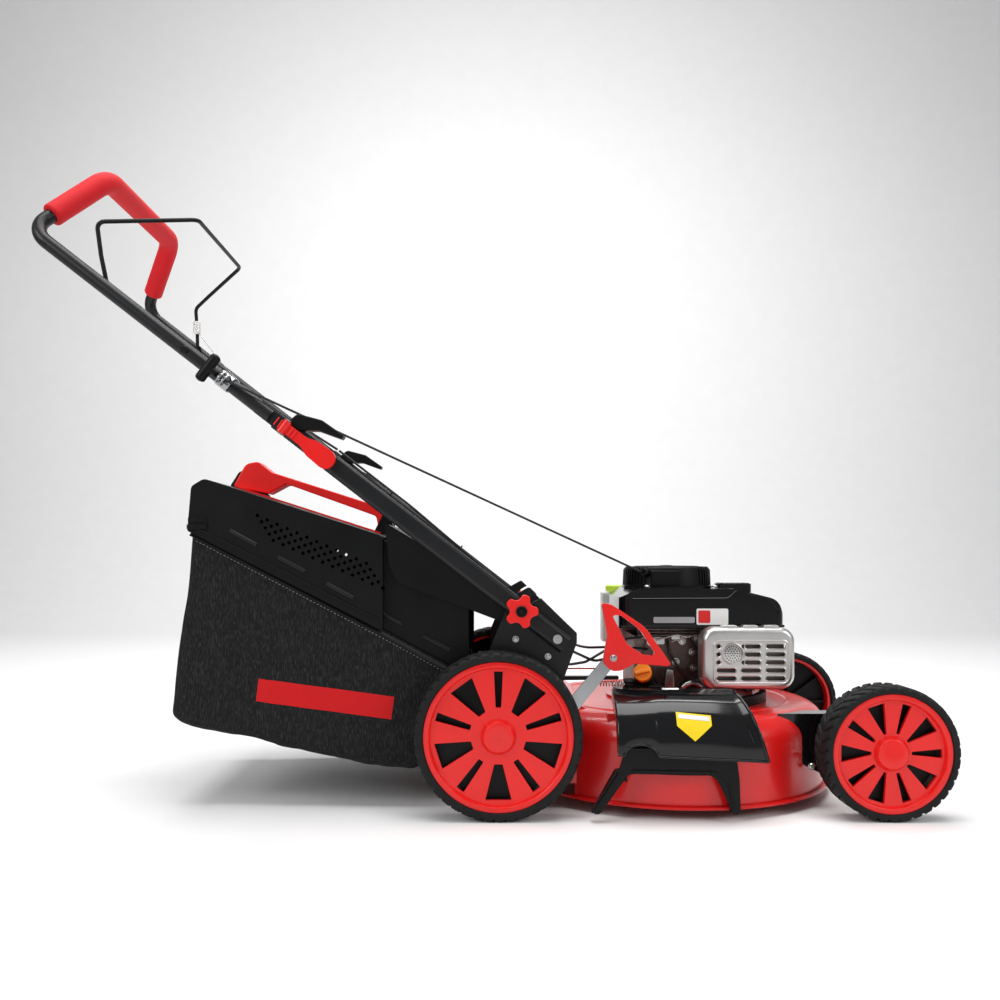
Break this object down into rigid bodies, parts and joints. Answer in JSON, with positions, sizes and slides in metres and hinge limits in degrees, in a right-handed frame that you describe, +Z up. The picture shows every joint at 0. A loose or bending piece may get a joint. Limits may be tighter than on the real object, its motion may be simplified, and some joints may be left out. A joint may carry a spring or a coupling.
{
  "type": "push lawn mower",
  "caption": "Walk-behind petrol lawn mower with a round steel deck, large spoked wheels, a folding tube handle and a rear grass bag.",
  "frame": {"origin": "on the ground, at the middle of the mower's plan box", "axes": "+X is the mower's front, +Y its left-hand side, +Z up"},
  "size_m": [1.4112, 0.578, 1.031],
  "materials": {
    "deck_red": "gloss painted pressed steel",
    "black_steel": "black powder coat",
    "black_plastic": "moulded, faint grain",
    "gloss_black": "gloss moulded",
    "red_plastic": "moulded",
    "foam_red": "soft foam",
    "tyre_black": "moulded tread",
    "bright_steel": "zinc plated",
    "cast_alloy": "rough cast",
    "guard_silver": "pressed, satin",
    "tank_white": "translucent",
    "cap_green": "moulded",
    "cap_amber": "moulded",
    "mesh_fabric": "woven dust-bag mesh",
    "rope_black": "braided",
    "cable_black": "sheath",
    "blade_steel": "ground edge"
  },
  "bodies": {
    "chassis": {"deck_shell": "deck_red", "rear_bracket_near": "black_steel", "rear_bracket_far": "black_steel", "front_bracket_near": "gloss_black", "front_bracket_far": "gloss_black", "side_chute": "black_plastic", "crankcase": "cast_alloy", "cylinder": "cast_alloy", "piston": "bright_steel", "spark_plug": "black_plastic", "blower_housing": "gloss_black", "recoil_cover": "black_plastic", "fuel_tank": "tank_white", "muffler": "cast_alloy", "muffler_guard": "guard_silver", "air_cleaner": "black_plastic", "carburettor": "cast_alloy", "fixing_bolts": "bright_steel", "starter_rope_lower": "rope_black", "control_cable_lower": "cable_black"},
    "rotor": {"crankshaft": "bright_steel", "flywheel": "cast_alloy", "blade_carrier": "cast_alloy", "blade": "blade_steel", "blade_bolt": "bright_steel"},
    "recoil_pulley": {"recoil_pulley": "black_plastic"},
    "rear_crank": {"rear_axle": "black_steel", "height_lever_grip": "red_plastic"},
    "front_crank": {"front_axle": "bright_steel"},
    "height_link": {"height_link": "bright_steel"},
    "lower_handle": {"lower_handle_near": "black_steel", "lower_handle_far": "black_steel", "fold_bolts": "bright_steel"},
    "upper_handle": {"upper_handle": "black_steel", "foam_grip": "foam_red", "rope_guide": "bright_steel", "starter_rope_upper": "rope_black", "control_cable_upper": "cable_black"},
    "clamp_knob_near": {"clamp_knob_near": "red_plastic"},
    "clamp_knob_far": {"clamp_knob_far": "red_plastic"},
    "cam_lever_near": {"cam_lever_near": "red_plastic"},
    "cam_lever_far": {"cam_lever_far": "red_plastic"},
    "bail": {"bail": "black_steel"},
    "starter_grip": {"starter_grip": "black_plastic"},
    "side_flap": {"side_flap": "gloss_black", "flap_spring": "bright_steel"},
    "rear_door": {"rear_door": "black_plastic"},
    "grass_bag": {"bag_top": "black_plastic", "bag_fabric": "mesh_fabric", "bag_handle": "red_plastic"},
    "fuel_cap": {"fuel_cap": "cap_green"},
    "oil_cap": {"oil_cap": "cap_amber"},
    "rear_wheel_near": {"rear_tyre_near": "tyre_black", "rear_rim_near": "red_plastic"},
    "rear_wheel_far": {"rear_tyre_far": "tyre_black", "rear_rim_far": "red_plastic"},
    "front_wheel_near": {"front_tyre_near": "tyre_black", "front_rim_near": "red_plastic"},
    "front_wheel_far": {"front_tyre_far": "tyre_black", "front_rim_far": "red_plastic"}
  },
  "joints": [
    {"name": "rear_wheel_near_spin", "type": "hinge", "parent": "rear_crank", "child": "rear_wheel_near", "pos_m": [0.007, -0.254, 0.127], "axis": [0, 1, 0], "continuous": true},
    {"name": "rear_wheel_far_spin", "type": "hinge", "parent": "rear_crank", "child": "rear_wheel_far", "pos_m": [0.007, 0.254, 0.127], "axis": [0, 1, 0], "continuous": true},
    {"name": "front_wheel_near_spin", "type": "hinge", "parent": "front_crank", "child": "front_wheel_near", "pos_m": [0.597, -0.254, 0.102], "axis": [0, 1, 0], "continuous": true},
    {"name": "front_wheel_far_spin", "type": "hinge", "parent": "front_crank", "child": "front_wheel_far", "pos_m": [0.597, 0.254, 0.102], "axis": [0, 1, 0], "continuous": true},
    {"name": "height_set", "type": "hinge", "parent": "chassis", "child": "rear_crank", "pos_m": [0.0726, 0, 0.103], "axis": [0, -1, 0], "range_deg": [0, 34]},
    {"name": "front_height", "type": "hinge", "parent": "chassis", "child": "front_crank", "pos_m": [0.5314, 0, 0.078], "axis": [0, 1, 0], "range_deg": [0, 34]},
    {"name": "link_turn", "type": "hinge", "parent": "rear_crank", "child": "height_link", "pos_m": [0.0726, 0.2075, 0.127], "axis": [0, 1, 0], "range_deg": [0, 34]},
    {"name": "blade_spin", "type": "hinge", "parent": "chassis", "child": "rotor", "pos_m": [0.309, 0, 0.2], "axis": [0, 0, 1], "continuous": true},
    {"name": "pulley_spin", "type": "hinge", "parent": "chassis", "child": "recoil_pulley", "pos_m": [0.309, 0, 0.37], "axis": [0, 0, 1], "range_deg": [0, 685]},
    {"name": "handle_fold", "type": "hinge", "parent": "chassis", "child": "lower_handle", "pos_m": [0.09727, 0, 0.27175], "axis": [0, 1, 0], "range_deg": [0, 60], "deforming": ["starter_rope_lower", "control_cable_lower"]},
    {"name": "upper_fold", "type": "hinge", "parent": "lower_handle", "child": "upper_handle", "pos_m": [-0.318, 0, 0.59445], "axis": [0, 1, 0], "range_deg": [0, 115], "deforming": ["starter_rope_upper", "control_cable_upper"]},
    {"name": "clamp_knob_near_turn", "type": "hinge", "parent": "lower_handle", "child": "clamp_knob_near", "pos_m": [0.042, -0.25, 0.3147], "axis": [0, -1, 0], "continuous": true},
    {"name": "cam_lever_near_flip", "type": "hinge", "parent": "lower_handle", "child": "cam_lever_near", "pos_m": [-0.318, -0.2565, 0.59445], "axis": [-0.6136, 0, -0.7896], "range_deg": [0, 110]},
    {"name": "clamp_knob_far_turn", "type": "hinge", "parent": "lower_handle", "child": "clamp_knob_far", "pos_m": [0.042, 0.25, 0.3147], "axis": [0, 1, 0], "continuous": true},
    {"name": "cam_lever_far_flip", "type": "hinge", "parent": "lower_handle", "child": "cam_lever_far", "pos_m": [-0.318, 0.2565, 0.59445], "axis": [0.6136, 0, 0.7896], "range_deg": [0, 110]},
    {"name": "bail_swing", "type": "hinge", "parent": "upper_handle", "child": "bail", "pos_m": [-0.602, 0, 0.822], "axis": [0, -1, 0], "range_deg": [0, 46], "stiffness_Nm_per_rad": 0.6, "springref_deg": -17.19},
    {"name": "starter_pull", "type": "slide", "parent": "upper_handle", "child": "starter_grip", "axis": [-0.7896, 0, 0.6136], "range_m": [0, 0.55]},
    {"name": "side_flap_swing", "type": "hinge", "parent": "chassis", "child": "side_flap", "pos_m": [0.295, -0.214, 0.186], "axis": [-1, 0, 0], "range_deg": [0, 65], "stiffness_Nm_per_rad": 0.4, "springref_deg": -22.92},
    {"name": "rear_door_lift", "type": "hinge", "parent": "chassis", "child": "rear_door", "pos_m": [0.024, 0, 0.306], "axis": [0, 1, 0], "range_deg": [0, 70], "stiffness_Nm_per_rad": 0.8, "springref_deg": -17.19},
    {"name": "bag_unhook", "type": "slide", "parent": "chassis", "child": "grass_bag", "axis": [-1, 0, 0], "range_m": [0, 0.4]},
    {"name": "fuel_cap_turn", "type": "hinge", "parent": "chassis", "child": "fuel_cap", "pos_m": [0.24, 0.116, 0.338], "axis": [0, 0, 1], "range_deg": [0, 360]},
    {"name": "oil_cap_turn", "type": "hinge", "parent": "chassis", "child": "oil_cap", "pos_m": [0.24976, -0.11087, 0.20236], "axis": [-0.2447, -0.8974, 0.3671], "range_deg": [0, 360]}
  ],
  "couplings": [
    {"joint": "front_height", "follows": "height_set", "ratio": 1},
    {"joint": "link_turn", "follows": "height_set", "ratio": 0.9698},
    {"joint": "starter_pull", "follows": "pulley_spin", "m_per_rad": 0.046}
  ]
}
